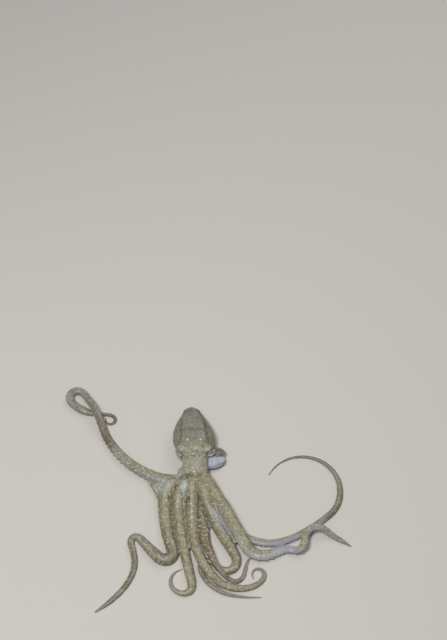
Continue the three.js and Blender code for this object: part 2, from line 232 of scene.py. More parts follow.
for arm in ARMS.values():
    arm["route"] = walk(arm)
print("arm lengths (mm):", {name: round(arm["route"]["length"]) for name, arm in ARMS.items()})

# %% [markdown]
# ## The arms' skin
# In section an arm is nearly round, a little flatter on the sucker side. It sags under its own weight and
# is pressed flat where it lies, resting on its suckers. Carrying that section along the route gives a
# surface of two parameters: the distance along the arm and the angle round it.

# %% Section and surface of an arm
ORAL_DEPTH, PRESS = 0.85, 0.7
ORAL_FLESH = 0.72  # the flesh stops short of that depth, and the suckers make up the rest
SUCKER_ROOM = 0.11  # flesh is held off the ground by this much of its half width


def read(arm, key, s):
    """A value from one of the arm's tables at the distances s."""
    places, values = np.array(arm[key], float).T
    return np.interp(s, places, values)


def section(arm, s, angle, depth=ORAL_FLESH):
    """Left and up offsets of the rolled and sagged section; angle 90 degrees is the arm's back."""
    half = read(arm, "girth", s)
    left = half * np.cos(angle)
    up = half * np.sin(angle) * np.where(np.sin(angle) < 0, depth, 1)
    roll = np.radians(read(arm, "roll", s))
    return left * np.cos(roll) + up * np.sin(roll), (up * np.cos(roll) - left * np.sin(roll)) * arm["sag"]


def centre_height(arm, s):
    """Half sunk flesh on the ground, plus the climb down from the root and over other arms."""
    lowest = section(arm, s[:, None], circle(32), ORAL_DEPTH)[1].min(1)
    root_rise = arm["root"][2] - arm["girth"][0][1] * ORAL_DEPTH * arm["sag"] * PRESS
    height = -PRESS * lowest + root_rise * (1 - soft_step(0, arm["settle"], s))
    for start, end, rise, run in arm["lifts"]:
        height += rise * soft_step(start - run, start, s) * (1 - soft_step(end, end + run, s))
    return height


def arm_points(arm, s, angle):
    """Points on the arm's skin for arrays of distance and angle that can be multiplied together."""
    route = arm["route"]
    x, y, heading = (np.interp(s, route["s"], route[key]) for key in ("x", "y", "heading"))
    left, up = section(arm, s, angle)
    height = np.interp(s, route["s"], centre_height(arm, route["s"]))
    ground = SUCKER_ROOM * read(arm, "girth", s)
    return np.stack(np.broadcast_arrays(
        x - left * np.sin(heading), y + left * np.cos(heading), np.maximum(height + up, ground)), -1)


print("the first arm's middle stands %.1f mm high at its root" % centre_height(ARMS["r4"], np.zeros(1))[0])

# %% Closing rings into a skin
def tube(rings, start, end):
    """Closes a grid of rings (along, around, 3) into a skin, with an end point at each end. Gives the
    points, and the faces in two arrays: those with four corners, then the triangles at both ends."""
    rows, count, _ = rings.shape
    ring, last_row = np.arange(count), (rows - 1) * count
    following = np.roll(ring, -1)
    a, b = (np.arange(rows - 1)[:, None] * count + corner for corner in (ring, following))
    quads = np.stack([a, b, b + count, a + count], -1).reshape(-1, 4)
    first, last = rows * count, rows * count + 1
    fans = [np.stack([np.full(count, first), following, ring], -1),
            np.stack([np.full(count, last), ring + last_row, following + last_row], -1)]
    return np.vstack([rings.reshape(-1, 3), start, end]), [quads, np.vstack(fans)]


_, closed = tube(np.zeros((2, 4, 3)), np.zeros(3), np.zeros(3))
print("two rings of four points close with", [len(block) for block in closed], "faces")

# %% The eight arms' surfaces
RING_GAP, RING_POINTS = 0.9, 28
ROOT_INSIDE = 6  # the root's end point lies this far back inside the head
LEAST_HEIGHT = 0.03  # no flesh of an arm is lower than this
SPARE, SPARE_FADE = 0.35, 0.9  # smoothing thins a narrow tip later, so it starts up to SPARE wider, in mm


def arm_surface(arm):
    """The whole arm from inside the head to its blunt tip, in rings about a millimetre apart. Each ring is
    widened by SPARE times e to the minus half width over SPARE_FADE."""
    length = arm["route"]["length"]
    s = np.linspace(0, length, int(length / RING_GAP))
    rings = arm_points(arm, s[:, None], circle(RING_POINTS))
    half = read(arm, "girth", s)[:, None, None]
    middle = rings.mean(1, keepdims=True)
    rings = middle + (rings - middle) * (1 + SPARE * np.exp(-half / SPARE_FADE) / half)
    rings[..., 2] = np.maximum(rings[..., 2], LEAST_HEIGHT)
    ends = rings[[0, -1]].mean(1)
    heading = arm["route"]["heading"][[0, -1]]
    ends[:, 0] += np.cos(heading) * (-ROOT_INSIDE, TIP)
    ends[:, 1] += np.sin(heading) * (-ROOT_INSIDE, TIP)
    return tube(rings, *ends)


flesh = [arm_surface(arm) for arm in ARMS.values()]
print("arm surfaces:", len(flesh), "points:", sum(len(points) for points, _ in flesh))

# %% [markdown]
# ## Mantle, head and neck
# The mantle is a soft bag, drawn to a blunt point behind. Its front edge is open at the sides and below,
# like a collar round the neck, and water comes in there. The head is a shorter tube inside that collar.
# Both are made of rings whose half width, height and depth come from smooth tables along +Y.

# %% Rings of the body
HEAD = [  # y, half width, height of the middle, half height above it, depth below it
    (-15, 4.5, 6, 2.6, 3), (-12, 8.4, 6.8, 4.6, 5), (-6, 10.6, 7.8, 6.4, 6.8), (1.5, 10.3, 8.3, 7.2, 7.5),
    (6, 10.2, 8.4, 7.6, 7.6), (14, 10.2, 8.6, 8, 8), (20, 11, 8.8, 8.4, 8.2), (27, 11.4, 8.8, 8.4, 8.2),
    (34, 9, 8.6, 7, 6.6)]
MANTLE = [  # the same columns
    (23, 14, 8.6, 9, 8.8), (26, 15.9, 8.4, 9.6, 9.4), (31, 17.2, 8.2, 10, 9.8), (36, 17.2, 8, 10.1, 9.8),
    (41, 16.4, 7.8, 10, 9.4), (47, 14.3, 7.4, 9.3, 8.8), (53, 11.4, 6.8, 8, 7.8),
    (58.5, 8.4, 6.2, 6.4, 6.4), (63, 6.2, 5.6, 4.6, 4.8), (65.4, 3.3, 5.2, 2.5, 2.6)]
BODY_GROUND = 0.05  # the lowest that the body's flesh may come


def body_ring(y, table, angle, shrink=0.0):
    """Rings at the places y: half ellipses above and below the middle, drawn in by shrink."""
    half, middle, above, below = smooth_table(table, y).T[:, :, None]
    rise = np.where(np.sin(angle) > 0, above, below) - shrink
    x = (half - shrink) * np.cos(angle) + LEAN * np.maximum(0, y - LEAN_FROM)[:, None]
    z = np.maximum(BODY_GROUND, middle + rise * np.sin(angle))
    return np.stack(np.broadcast_arrays(x, y[:, None], z), -1)


print("widest place of the mantle (mm):", 2 * max(row[1] for row in MANTLE))

# %% Head, collar and mantle
BODY_RINGS, BODY_ANGLES = 60, circle(64)
FACE_BULGE, TIP_BULGE = 0.8, 1.0  # how far the end points stand out in front of the face and behind the tip
COLLAR_DEEP, COLLAR_THICK, COLLAR_EDGE = 5.0, 1.3, 0.4

head_rings = body_ring(np.linspace(HEAD[0][0], HEAD[-1][0], BODY_RINGS), HEAD, BODY_ANGLES)
flesh.append(tube(head_rings, head_rings[0].mean(0) - (0, FACE_BULGE, 0), head_rings[-1].mean(0)))

collar, mantle_end = MANTLE[0][0], MANTLE[-1][0]
lining = np.linspace(collar + COLLAR_DEEP, collar + COLLAR_EDGE, 10)
inside = body_ring(lining, MANTLE, BODY_ANGLES, COLLAR_THICK)
outside = body_ring(np.linspace(collar, mantle_end, BODY_RINGS), MANTLE, BODY_ANGLES)
mantle_rings = np.concatenate([inside, outside])
flesh.append(tube(mantle_rings, inside[0].mean(0), outside[-1].mean(0) + (0, TIP_BULGE, 0)))
print("mantle length from collar to tip (mm): %.1f" % (mantle_end + TIP_BULGE - collar))

# %% [markdown]
# ## Eye mounds and nape
# The eyes sit in raised mounds at the sides of the head. Above, the mantle is joined to the head by the
# nape, so the collar is bridged there. Simple eggs are enough, because the skin is smoothed over them.

# %% Mounds and nape
POLE = 0.05  # the first and last ring's angle from the poles


def egg(middle, radii):
    """An ellipsoid: rings from one pole to the other along Y, pressed flat on the ground."""
    polar, angle = np.linspace(POLE, np.pi - POLE, 20)[:, None], circle(32)
    unit = np.stack(np.broadcast_arrays(
        np.sin(polar) * np.cos(angle), -np.cos(polar), np.sin(polar) * np.sin(angle)), -1)
    points = np.asarray(middle) + unit * radii
    points[..., 2] = np.maximum(points[..., 2], BODY_GROUND)
    return tube(points, np.asarray(middle) - (0, radii[1], 0), np.asarray(middle) + (0, radii[1], 0))


flesh += [egg(middle, radii) for middle, radii in (
    ((-10.7, 21.6, 10.5), (5.5, 6.3, 5.5)), ((10.7, 21.6, 10.5), (5.5, 6.3, 5.5)),  # a mound for each eye
    ((0, 23.5, 10.5), (8.6, 7.5, 7.4)),  # the nape
    ((-9.6, 2.2, 5.6), (4.6, 7.6, 4.6)))]  # the shoulder between the head and the right belly arm
print("flesh surfaces:", len(flesh))

# %% [markdown]
# ## Funnel and the loose edge over it
# The funnel is the soft nozzle that the animal breathes and swims through. Here it has slid out on the
# left, under a loose edge of the mantle's collar. It is a flattened tube with a few soft folds, whose
# mouth is cut aslant and whose bore runs in and narrows. The loose edge is a flat leaf with a rolled rim.

# %% Funnel
FUNNEL_FROM, FUNNEL_TO = np.array((6, 13.4, 4.8)), np.array((24.4, 15.8, 3.8))
FUNNEL_RADIUS = [(0, 5.2), (0.4, 5.5), (0.7, 5.3), (0.85, 4.9), (1, 4.0)]  # share of the length, half width
FUNNEL_SAG, FUNNEL_WALL, FOLDS, FOLD_DEPTH, FOLD_TURN = 0.64, 1.0, 5, 0.08, 1.2
BORE_TO, BORE_END = 0.55, 0.35  # how far in the bore runs, and its width there, both as shares
SLANT_ABOVE, SLANT_FRONT = 0.4, 2.0  # how far the mouth's upper and front lips stand back
FRONT_TAPER = 0.36  # how far its front side is drawn in at the mouth


def funnel_rings(share, shrink):
    """Circles round the line from the neck to the mouth: sagged, folded, and drawn back above and in
    front by the cube of the share of the way."""
    along = FUNNEL_TO - FUNNEL_FROM
    across = np.cross(along, (0, 0, 1))
    across /= np.linalg.norm(across)
    up = np.cross(across, along) / np.linalg.norm(along)
    angle = circle(40)
    fold = 1 + FOLD_DEPTH * share[:, None] * np.cos(FOLDS * angle + FOLD_TURN)
    radius = ((smooth_table(FUNNEL_RADIUS, share)[:, 0, None] - shrink) * fold)[..., None]
    front = np.maximum(0, np.cos(angle))
    radius *= 1 - FRONT_TAPER * (soft_step(0.5, 1.05, share)[:, None] * front)[..., None]
    angle = angle[None, :, None]
    lip = SLANT_ABOVE * np.sin(angle) + SLANT_FRONT * front[:, None] ** 2
    back = share[:, None, None] ** 3 * lip * along / np.linalg.norm(along)
    points = (FUNNEL_FROM + share[:, None, None] * along - back + radius * np.cos(angle) * across
              + radius * FUNNEL_SAG * np.sin(angle) * up)
    points[..., 2] = np.maximum(points[..., 2], BODY_GROUND + shrink)
    return points


outer = funnel_rings(np.linspace(0, 1, 24), 0)
inner = funnel_rings(np.linspace(1, BORE_TO, 14), FUNNEL_WALL)
narrowing = np.linspace(1, BORE_END, len(inner))[:, None, None]
inner = inner.mean(1, keepdims=True) * (1 - narrowing) + inner * narrowing
flesh.append(tube(np.concatenate([outer, inner]), outer[0].mean(0), inner[-1].mean(0)))
print("funnel length (mm): %.1f" % np.linalg.norm(FUNNEL_TO - FUNNEL_FROM))

# %% The collar's loose edge
LEAF_MIDDLE, LEAF_RADII = np.array((17.0, 22.6, 5.0)), np.array((7.4, 4.6, 2.3))
RIM_THICK, RIM_THIN = 0.55, 0.2  # what the rolled rim adds to the thin edge it fades into
RIM_FROM, RIM_TURN = 170, 215  # where the rim starts and how far round it runs, in degrees
RIM_OUT = 0.93  # its distance from the leaf's middle, as a share of the leaf's own
CURL, CURL_BEHIND, CURL_INWARD = 0.9, 0.6, 0.8  # how far it curls up, and how much more behind and inward
UPRIGHT = np.array((0, 0, 1))


def rim_rings():
    """The path of the leaf's edge, from behind the eye round to the front, and rings of a thin tube along
    it. The path is the leaf's ellipse, lifted by the curl."""
    share = np.linspace(0, 1, 48)
    turn = np.radians(RIM_FROM - RIM_TURN * share)
    out = np.stack([np.cos(turn), np.sin(turn), 0 * turn], -1)
    path = LEAF_MIDDLE + RIM_OUT * LEAF_RADII * out
    path[:, 2] += CURL + CURL_BEHIND * np.sin(turn) - CURL_INWARD * np.cos(turn)
    angle = circle(16)[None, :, None]
    radius = RIM_THICK * soft_step(0, 0.15, share) * soft_step(1.02, 0.7, share) + RIM_THIN
    round_it = np.cos(angle) * out[:, None] + np.sin(angle) * UPRIGHT
    return path, path[:, None] + radius[:, None, None] * round_it


flesh.append(egg(LEAF_MIDDLE, LEAF_RADII))
leaf_edge, leaf_rings = rim_rings()
flesh.append(tube(leaf_rings, leaf_edge[0], leaf_edge[-1]))
print("flesh surfaces:", len(flesh))

# %% [markdown]
# ## The web
# Near the crown a thin web joins each arm to its neighbour, so that the arms seem to grow out of one
# skirt. Each piece of web is a slim wedge between two arms, thick at the head and thin at its free edge.

# %% Web between neighbours
# Each row: two neighbours, how far the web reaches, how far it stays level with the arms' backs.
WEBS = [("r4", "r3", 37, 10), ("r3", "r2", 66, 4), ("r2", "r1", 66, 8), ("r1", "l1", 58, 18),
        ("l1", "l2", 46, 20), ("l2", "l3", 66, 18), ("l3", "l4", 36, 16)]
WEB_DROOP, WEB_SINK, WEB_EDGE, WEB_UNDER, BACK_SHARE = 0.12, 20, 0.55, 2.4, 0.8


def web_surface(first, second, reach, level):
    """Rings of a flat loop from one arm's middle to the next and back. Above, it follows the arms' backs as
    far as level and then sinks over WEB_SINK to a thin sheet; the free edge hangs in a curve."""
    share = np.linspace(0, 1, 9)
    back = np.linspace(0, 1, 40)[:, None]
    s = back * reach * (1 - WEB_DROOP * np.sin(np.pi * share) ** 2)
    lines, backs = [], []
    for arm in (ARMS[first], ARMS[second]):
        route = arm["route"]
        places = (route["x"], route["y"], centre_height(arm, route["s"]))
        lines.append(np.stack([np.interp(s, route["s"], values) for values in places], -1))
        backs.append(BACK_SHARE * arm["sag"] * read(arm, "girth", s))
    line = lines[0] * (1 - share[:, None]) + lines[1] * share[:, None]
    above = (backs[0] * (1 - share) + backs[1] * share) * soft_step(level + WEB_SINK, level, s) + WEB_EDGE
    under = WEB_UNDER * (1 - back) + WEB_EDGE + 0 * s
    top, bottom = line + above[..., None] * UPRIGHT, line - under[..., None] * UPRIGHT
    loop = np.concatenate([top, bottom[:, ::-1]], 1)
    loop[..., 2] = np.maximum(loop[..., 2], BODY_GROUND)
    return tube(loop, loop[0].mean(0), loop[-1].mean(0))


flesh += [web_surface(*web) for web in WEBS]
print("flesh surfaces with the web:", len(flesh))

# %% [markdown]
# ## Growing the skin together
# All these closed surfaces overlap. A voxel remesh keeps only what is outside them all, which joins them
# with no seam, and a few rounds of smoothing round the corners between them. This is worked in
# millimetres, because the voxels are then a comfortable size.

# %% One skin from many surfaces
VOXEL, SOFTENING = 0.36, 5  # the voxel's size in mm, and the rounds of smoothing


def linked(name, data):
    """An object at the origin that shows a mesh, a light or a camera in the scene."""
    obj = bpy.data.objects.new(name, data)
    bpy.context.scene.collection.objects.link(obj)
    return obj


def mesh_of(name, points, blocks):
    """An object from points and from blocks of faces, each an array with one row for each face."""
    mesh = bpy.data.meshes.new(name)
    mesh.from_pydata(points.tolist(), [], [face for block in blocks for face in block.tolist()])
    return linked(name, mesh)


def baked(obj):
    """The mesh of obj with its modifiers applied; obj itself is removed."""
    bpy.context.view_layer.update()
    mesh = bpy.data.meshes.new_from_object(obj.evaluated_get(bpy.context.evaluated_depsgraph_get()))
    bpy.data.objects.remove(obj)
    return mesh


def coordinates(mesh):
    """The places of a mesh's vertices, one row for each."""
    points = np.empty(len(mesh.vertices) * 3)
    mesh.vertices.foreach_get("co", points)
    return points.reshape(-1, 3)


def normals(mesh):
    """The way out of the surface at each vertex."""
    arrows = np.empty(len(mesh.vertices) * 3)
    mesh.vertex_normals.foreach_get("vector", arrows)
    return arrows.reshape(-1, 3)


starts = np.cumsum([0] + [len(points) for points, _ in flesh])
joined = [block + start for (_, blocks), start in zip(flesh, starts) for block in blocks]
raw = mesh_of("raw flesh", np.vstack([points for points, _ in flesh]), joined)
grow = raw.modifiers.new("grow together", "REMESH")
grow.mode, grow.voxel_size = "VOXEL", VOXEL
soften = raw.modifiers.new("soften", "SMOOTH")
soften.factor, soften.iterations = 0.5, SOFTENING
grown = baked(raw)
print("grown skin:", len(grown.vertices), "vertices")

# %% [markdown]
# ## Carving the details
# With the skin in one piece, its vertices can be moved as a sculptor would: two long creases down the
# mantle's back, an eye cup with lids on each mound, the mouth below, small wrinkles everywhere. Pulling
# the skin in and out round the lids stretches its faces, so a band there is evened out afterwards.

# %% Frames of the eyes
EYE_TURN, EYE_TILT = {-1: 45, 1: 50}, 30  # degrees forward of sideways on each side, and upwards
OPENING = np.radians((64, 30))  # half length and half height of the opening, as angles at the eye's middle


def eye_frame(side):
    """The way the eye looks, the level direction along its opening, and the direction across it."""
    turn, tilt = np.radians((EYE_TURN[side], EYE_TILT))
    look = np.array([side * np.cos(turn) * np.cos(tilt), -np.sin(turn) * np.cos(tilt), np.sin(tilt)])
    level = np.cross((0, 0, 1), look)
    level /= np.linalg.norm(level)
    return look, level, np.cross(look, level)


def opening_measure(points, side):
    """The angle away from the line of sight over the opening's own angle in that direction, so it is 1 at
    the opening's edge; with it the distance and the direction from the eye's middle."""
    look, level, across = eye_frame(side)
    away = points - eye_centre(side)
    distance = np.linalg.norm(away, axis=1)
    unit = away / distance[:, None]
    turned = np.arccos(np.clip(unit @ look, -1, 1))
    way = np.arctan2(unit @ across, unit @ level)
    return turned * np.hypot(np.cos(way) / OPENING[0], np.sin(way) / OPENING[1]), distance, unit


for side in (-1, 1):
    print("eye", side, "looks along", eye_frame(side)[0].round(2))

# %% Creases, folds, warts and wrinkles
BACK_BAND = [(24, 12.8), (38, 10.6), (54, 8.3), (60, 5.8), (66, 2.0)]  # y, half width of the raised band
FOLDS_ACROSS = [  # y, width, depth
    (13.9, 0.9, 0.35), (38.4, 1.0, 0.2), (17.2, 0.6, 0.15), (-2.4, 1.8, 0.25)]
SPOTS = [(-6.3, 28.2), (4.4, 28.2), (-0.4, -0.2)]  # three small white-tipped warts on the back
CREASE_DEPTH, WART_HEIGHT = 0.9, 0.55
DRAWN_IN = 0.12  # the whole skin is drawn in this much, to leave room for the wrinkles
WRINKLES = [(0.10, 2.4, 3), (0.08, 1.2, 4)]  # height, size, seed
BACK_OVER = (11, 14.5)  # folds and warts fade in between these heights


def crease_lines(points):
    """How near a point is to the two long creases of the mantle's back, and 1 outside them."""
    y = points[:, 1]
    across = points[:, 0] - LEAN * np.maximum(0, y - LEAN_FROM)
    line = np.interp(y, *np.array(BACK_BAND).T)
    window = soft_step(24, 29, y) * soft_step(66, 60, y) * soft_step(6, 9, points[:, 2])
    fainter_on_the_right = np.where(across > 0, 1, 0.75)
    near = bump_at(line + 0.5 * lumps(points, 5, 21), 1.3, np.abs(across)) * window * fainter_on_the_right
    return near, soft_step(line, line + 1.5, np.abs(across)) * soft_step(24, 27, y)


def fold_across(points, place, width):
    """A shallow wavering fold across the back, that fades out towards both sides."""
    return bump_at(place + 0.8 * lumps(points, 6, 8), width, points[:, 1]) * bump_at(0, 10, points[:, 0])


def skin_depth(points):
    """How far each point moves out along its normal: creases and folds go in, warts out, wrinkles both."""
    crease, _ = crease_lines(points)
    above = soft_step(*BACK_OVER, points[:, 2])
    depth = -CREASE_DEPTH * crease - DRAWN_IN
    for place, width, deep in FOLDS_ACROSS:
        depth -= deep * above * fold_across(points, place, width)
    for spot in SPOTS:
        depth += WART_HEIGHT * above * bump_at(0, 0.7, np.hypot(*(points[:, :2] - spot).T))
    for height, size, seed in WRINKLES:
        depth += height * lumps(points, size, seed)
    return depth


before = coordinates(grown)
depth = skin_depth(before)
carved = before + normals(grown) * depth[:, None]
print("skin moved by (mm): %.2f to %.2f" % (depth.min(), depth.max()))

# %% Eye cups, lids and mouth
CUP_BACK, LID_OUT, LID_SWELL = 0.8, 0.5, 0.2  # the cup lies behind the ball's surface, the lids in front
EYE_REACH = 2.2  # nothing further than this many eye radii is moved
MOUTH, MOUTH_DEEP, MOUTH_RIM = (0, -7), 2.0, 0.25


def cup_and_lids(points, side):
    """Slides the points round one eye along their line from its middle: to the cup inside the opening, to
    the lids at its edge, and further out by less and less."""
    measure, distance, unit = opening_measure(points, side)
    cup = EYE_RADIUS - CUP_BACK
    lid = EYE_RADIUS + LID_OUT + LID_SWELL * bump_at(1.2, 0.2, measure)
    target = cup + (lid - cup) * soft_step(0.9, 1.08, measure)
    target += (distance - target) * soft_step(1.15, 1.9, measure)
    near = distance < EYE_REACH * EYE_RADIUS
    points[near] = eye_centre(side) + unit[near] * target[near, None]


def mouth_lift(points):
    """How far the underside is raised for the mouth: a pit in the middle, and a low ring round it."""
    away = np.hypot(points[:, 0] - MOUTH[0], points[:, 1] - MOUTH[1])
    pit = MOUTH_DEEP * soft_step(1.9, 1.0, away) - MOUTH_RIM * bump_at(2.4, 0.5, away)
    return soft_step(4, 2.5, points[:, 2]) * pit


for side in (-1, 1):
    cup_and_lids(carved, side)
carved[:, 2] += mouth_lift(before)
carved[:, 2] = np.maximum(carved[:, 2], BODY_GROUND)
print("mouth pit (mm): %.2f" % mouth_lift(before).max())

# %% Evening the skin round the lids
LID_ROUNDS = 16


def relaxed(mesh, points, rounds):
    """Evens the points out: each round moves every point half way to the average of its neighbours."""
    edges = np.empty(len(mesh.edges) * 2, dtype=np.int32)
    mesh.edges.foreach_get("vertices", edges)
    first, second = edges.reshape(-1, 2).T
    count = np.bincount(edges, minlength=len(points))[:, None]
    for _ in range(rounds):
        total = np.stack([np.bincount(first, points[second, k], len(points))
                          + np.bincount(second, points[first, k], len(points)) for k in range(3)], 1)
        points = 0.5 * points + 0.5 * total / count
    return points


def around_lids(points):
    """1 in a band round each eye's lids, where the carving has pulled the skin; 0 elsewhere."""
    band = np.zeros(len(points))
    for side in (-1, 1):
        measure, distance, _ = opening_measure(points, side)
        ring = soft_step(1.15, 1.35, measure) * soft_step(3.2, 2.4, measure)
        band = np.maximum(band, ring * soft_step(2.6 * EYE_RADIUS, 2 * EYE_RADIUS, distance))
    return band[:, None]


carved += around_lids(carved) * (relaxed(grown, carved, LID_ROUNDS) - carved)
grown.vertices.foreach_set("co", carved.ravel())
grown.update()
print("carved; highest point (mm): %.1f" % carved[:, 2].max())

# %% [markdown]
# ## Thinning the mesh
# The grown skin has far more faces than it needs. Decimate takes most from the smooth stretches and
# leaves the lids and creases fine.

# %% The finished skin
MOST_TRIANGLES = 190000
thick = linked("thick skin", grown)
triangles = sum(len(polygon.vertices) - 2 for polygon in grown.polygons)
thin_out = thick.modifiers.new("thin out", "DECIMATE")
thin_out.ratio = min(1.0, MOST_TRIANGLES / triangles)
skin_mesh = baked(thick)
skin_mm = coordinates(skin_mesh)
skin_normals = normals(skin_mesh)
placed = np.clip((skin_mm + CROWN) / 1000, *np.array(solid_box))  # no further out than the solids
skin_mesh.vertices.foreach_set("co", placed.ravel())
skin_mesh.name = "skin"
skin = linked("skin", skin_mesh)
skin_mesh.shade_smooth()
print("skin:", len(skin_mesh.vertices), "vertices,", len(skin_mesh.polygons), "faces")

# %% [markdown]
# ## Where each bit of skin belongs
# Colour follows the body: pale lilac below, khaki above, browner on one arm and on the mantle's sides,
# and a greyer brown where an arm is thin. So each vertex finds its nearest arm, how far along it lies and
# at which angle round it. The masks of the next step are worked out from those.

# %% Nearest arm of every vertex
AT_ONCE = 8000  # points compared with a whole arm at one time, which keeps the arrays small


def nearest_arm(points):
    """For each point: how many half widths it is from the nearest arm's middle, that arm's number, the
    distance along it, and the angle round it. Every second step of the route is close enough."""
    best = np.full(len(points), 1e9)
    number, along, angle = np.zeros(len(points)), np.zeros(len(points)), np.full(len(points), np.pi / 2)
    for index, arm in enumerate(ARMS.values()):
        route = arm["route"]
        middle = np.stack([route["x"], route["y"], centre_height(arm, route["s"])], -1)
        half = read(arm, "girth", route["s"])
        for part in np.array_split(np.arange(len(points)), max(1, len(points) // AT_ONCE)):
            gap = np.linalg.norm(points[part, None] - middle[None, ::2], axis=2) / half[None, ::2]
            close = gap.argmin(1)
            widths = gap[np.arange(len(part)), close]
            better = widths < best[part]
            rows, at = part[better], close[better] * 2
            best[rows], number[rows], along[rows] = widths[better], index, route["s"][at]
            offset = points[rows] - middle[at]
            heading = route["heading"][at]
            left = -offset[:, 0] * np.sin(heading) + offset[:, 1] * np.cos(heading)
            up = offset[:, 2] / arm["sag"]
            roll = np.radians(read(arm, "roll", route["s"][at]))
            angle[rows] = np.arctan2(up * np.cos(roll) + left * np.sin(roll),
                                     left * np.cos(roll) - up * np.sin(roll))
    return best, number.astype(int), along, angle


widths, arm_number, along, angle = nearest_arm(skin_mm)
print("skin on the arms: %d%%" % (100 * np.mean((widths < 1.3) & (along > 12))))

# %% Hollows
HOLLOW_ROUNDS = 24


def hollowness(mesh, points, outward):
    """How far the skin lies below its own evened copy, in mm."""
    return np.einsum("ij,ij->i", relaxed(mesh, points, HOLLOW_ROUNDS) - points, outward)


hollow = hollowness(skin_mesh, skin_mm, skin_normals)
print("hollows (mm), 5%% to 95%%: %.2f to %.2f" % tuple(np.percentile(hollow, (5, 95))))

# %% [markdown]
# ## Masks for the skin's colours
# A mask is a number from 0 to 1 at every vertex that says where one colour shows. Each is put together
# from soft steps along the body or along one arm, and masks are blended so that none passes 1. The
# numbers below are places on this animal, in millimetres, and shares of full strength.

# %% Helpers for masks
def blend_in(mask, *extras):
    """Adds masks to a mask without passing 1: what is left uncovered shrinks by each in turn."""
    for extra in extras:
        mask = 1 - (1 - mask) * (1 - extra)
    return mask


names = list(ARMS)
x, y, z = skin_mm.T
upness = skin_normals[:, 2]
facing_up = soft_step(-0.4, 0.3, upness)
half_here = np.choose(arm_number, [read(arm, "girth", along) for arm in ARMS.values()])
on_arm = soft_step(1.5, 1.2, widths) * soft_step(4, 12, along)


def stretch(name, start, end, blend=8.0):
    """1 along one arm from start to end, blending in and out over a few millimetres."""
    here = on_arm * (arm_number == names.index(name))
    after_start = soft_step(start - blend, start + blend, along)
    return here * after_start * soft_step(end + blend, end - blend, along)


def patch(place, reach):
    """1 at the middle of a round patch of the back, falling to 0 at its reach."""
    return soft_step(reach, 0.4 * reach, np.hypot(x - place[0], y - place[1])) * facing_up


print("half width of the nearest arm (mm): %.1f to %.1f" % (half_here.min(), half_here.max()))

# %% Parts of the body
crease, far_out = crease_lines(skin_mm)
mantle = soft_step(20, 28, y) * soft_step(1.6, 1.9, widths + 0.05 * np.maximum(0, y - 12))
head = soft_step(-5, 1, y) * (1 - mantle) * (1 - on_arm)
below = soft_step(0.15, -0.5, upness)
oral = on_arm * soft_step(-0.35, -0.7, np.sin(angle))
oral = blend_in(oral, (1 - on_arm) * below * 0.8 * soft_step(9.5, 7, z))
# a painted highlight along each arm's back
ridge = on_arm * soft_step(0.86, 1.0, np.sin(angle))
thin = blend_in(on_arm * soft_step(3.3, 1.6, half_here), 0.85 * stretch("l4", 100, 240))
flank = soft_step(0.97, 0.72, np.sin(angle))  # the arm's side, between its back and its suckers
brown = stretch("l1", 42, 104)
side_skin = far_out * mantle * facing_up
tip_cap = mantle * soft_step(59, 64, y)
mottled = blend_in(0.9 * side_skin, 0.8 * tip_cap)
print("share of the skin on the mantle %.2f, on the head %.2f" % (mantle.mean(), head.mean()))

# %% The collar's loose edge
FAR = 9.0  # stands for any distance too great to matter
leaf_share = np.hypot(*((skin_mm - LEAF_MIDDLE) / LEAF_RADII)[:, :2].T)  # 1 at the leaf's own outline
leaf = soft_step(11.5, 13, x) * soft_step(1.12, 0.98, leaf_share) * soft_step(20, 19, z)
near_leaf = np.hypot(x - LEAF_MIDDLE[0], y - LEAF_MIDDLE[1]) < 14
edge_gap = np.full(len(skin_mm), FAR)
edge_gap[near_leaf] = np.linalg.norm(skin_mm[near_leaf, None] - leaf_edge, axis=2).min(1)
rim = leaf * soft_step(2.2, 1.2, edge_gap)
print("vertices on the loose edge:", int(leaf.sum()))

# %% Painted shade in folds, hollows and gaps, and a darker stretch of one arm
SHADE_PATCHES = [((-19.5, -19), 2.6), ((-14.5, -11), 2.8), ((-5.5, -22), 3.5)]  # place, reach of patches of painted shade between the arms' roots
groove = np.hypot((x + 7.6) / 7.4, (y + 3.2) / 2.2)  # painted shade of the groove behind the arms' roots, on the right
dotted = 0.6 + 0.4 * lumps(skin_mm, 1.8, 31)
over = soft_step(*BACK_OVER, z)
# Painted shade in creases, folds, the groove, gaps, hollows and under the rim, plus a darker stretch of l1
dark = blend_in(
    0.8 * crease,
    *[0.6 * fold_across(skin_mm, place, width) * over for place, width, _ in FOLDS_ACROSS],
    0.7 * soft_step(1.3, 0.5, groove) * soft_step(-0.9, 0, upness),
    0.5 * stretch("l1", 8, 42),
    *[0.75 * patch(place, reach) for place, reach in SHADE_PATCHES],
    # painted shade in hollows and, dotted, in the narrow gaps between the arms
    (0.35 * soft_step(0.05, 0.4, hollow) + 0.8 * soft_step(0.3, 0.7, hollow) * dotted) * (1 - 0.5 * below),
    # a line of painted shade under the loose edge's rolled rim
    0.85 * leaf * bump_at(2.1, 0.5, edge_gap))
print("dark skin, mean: %.2f" % dark.mean())

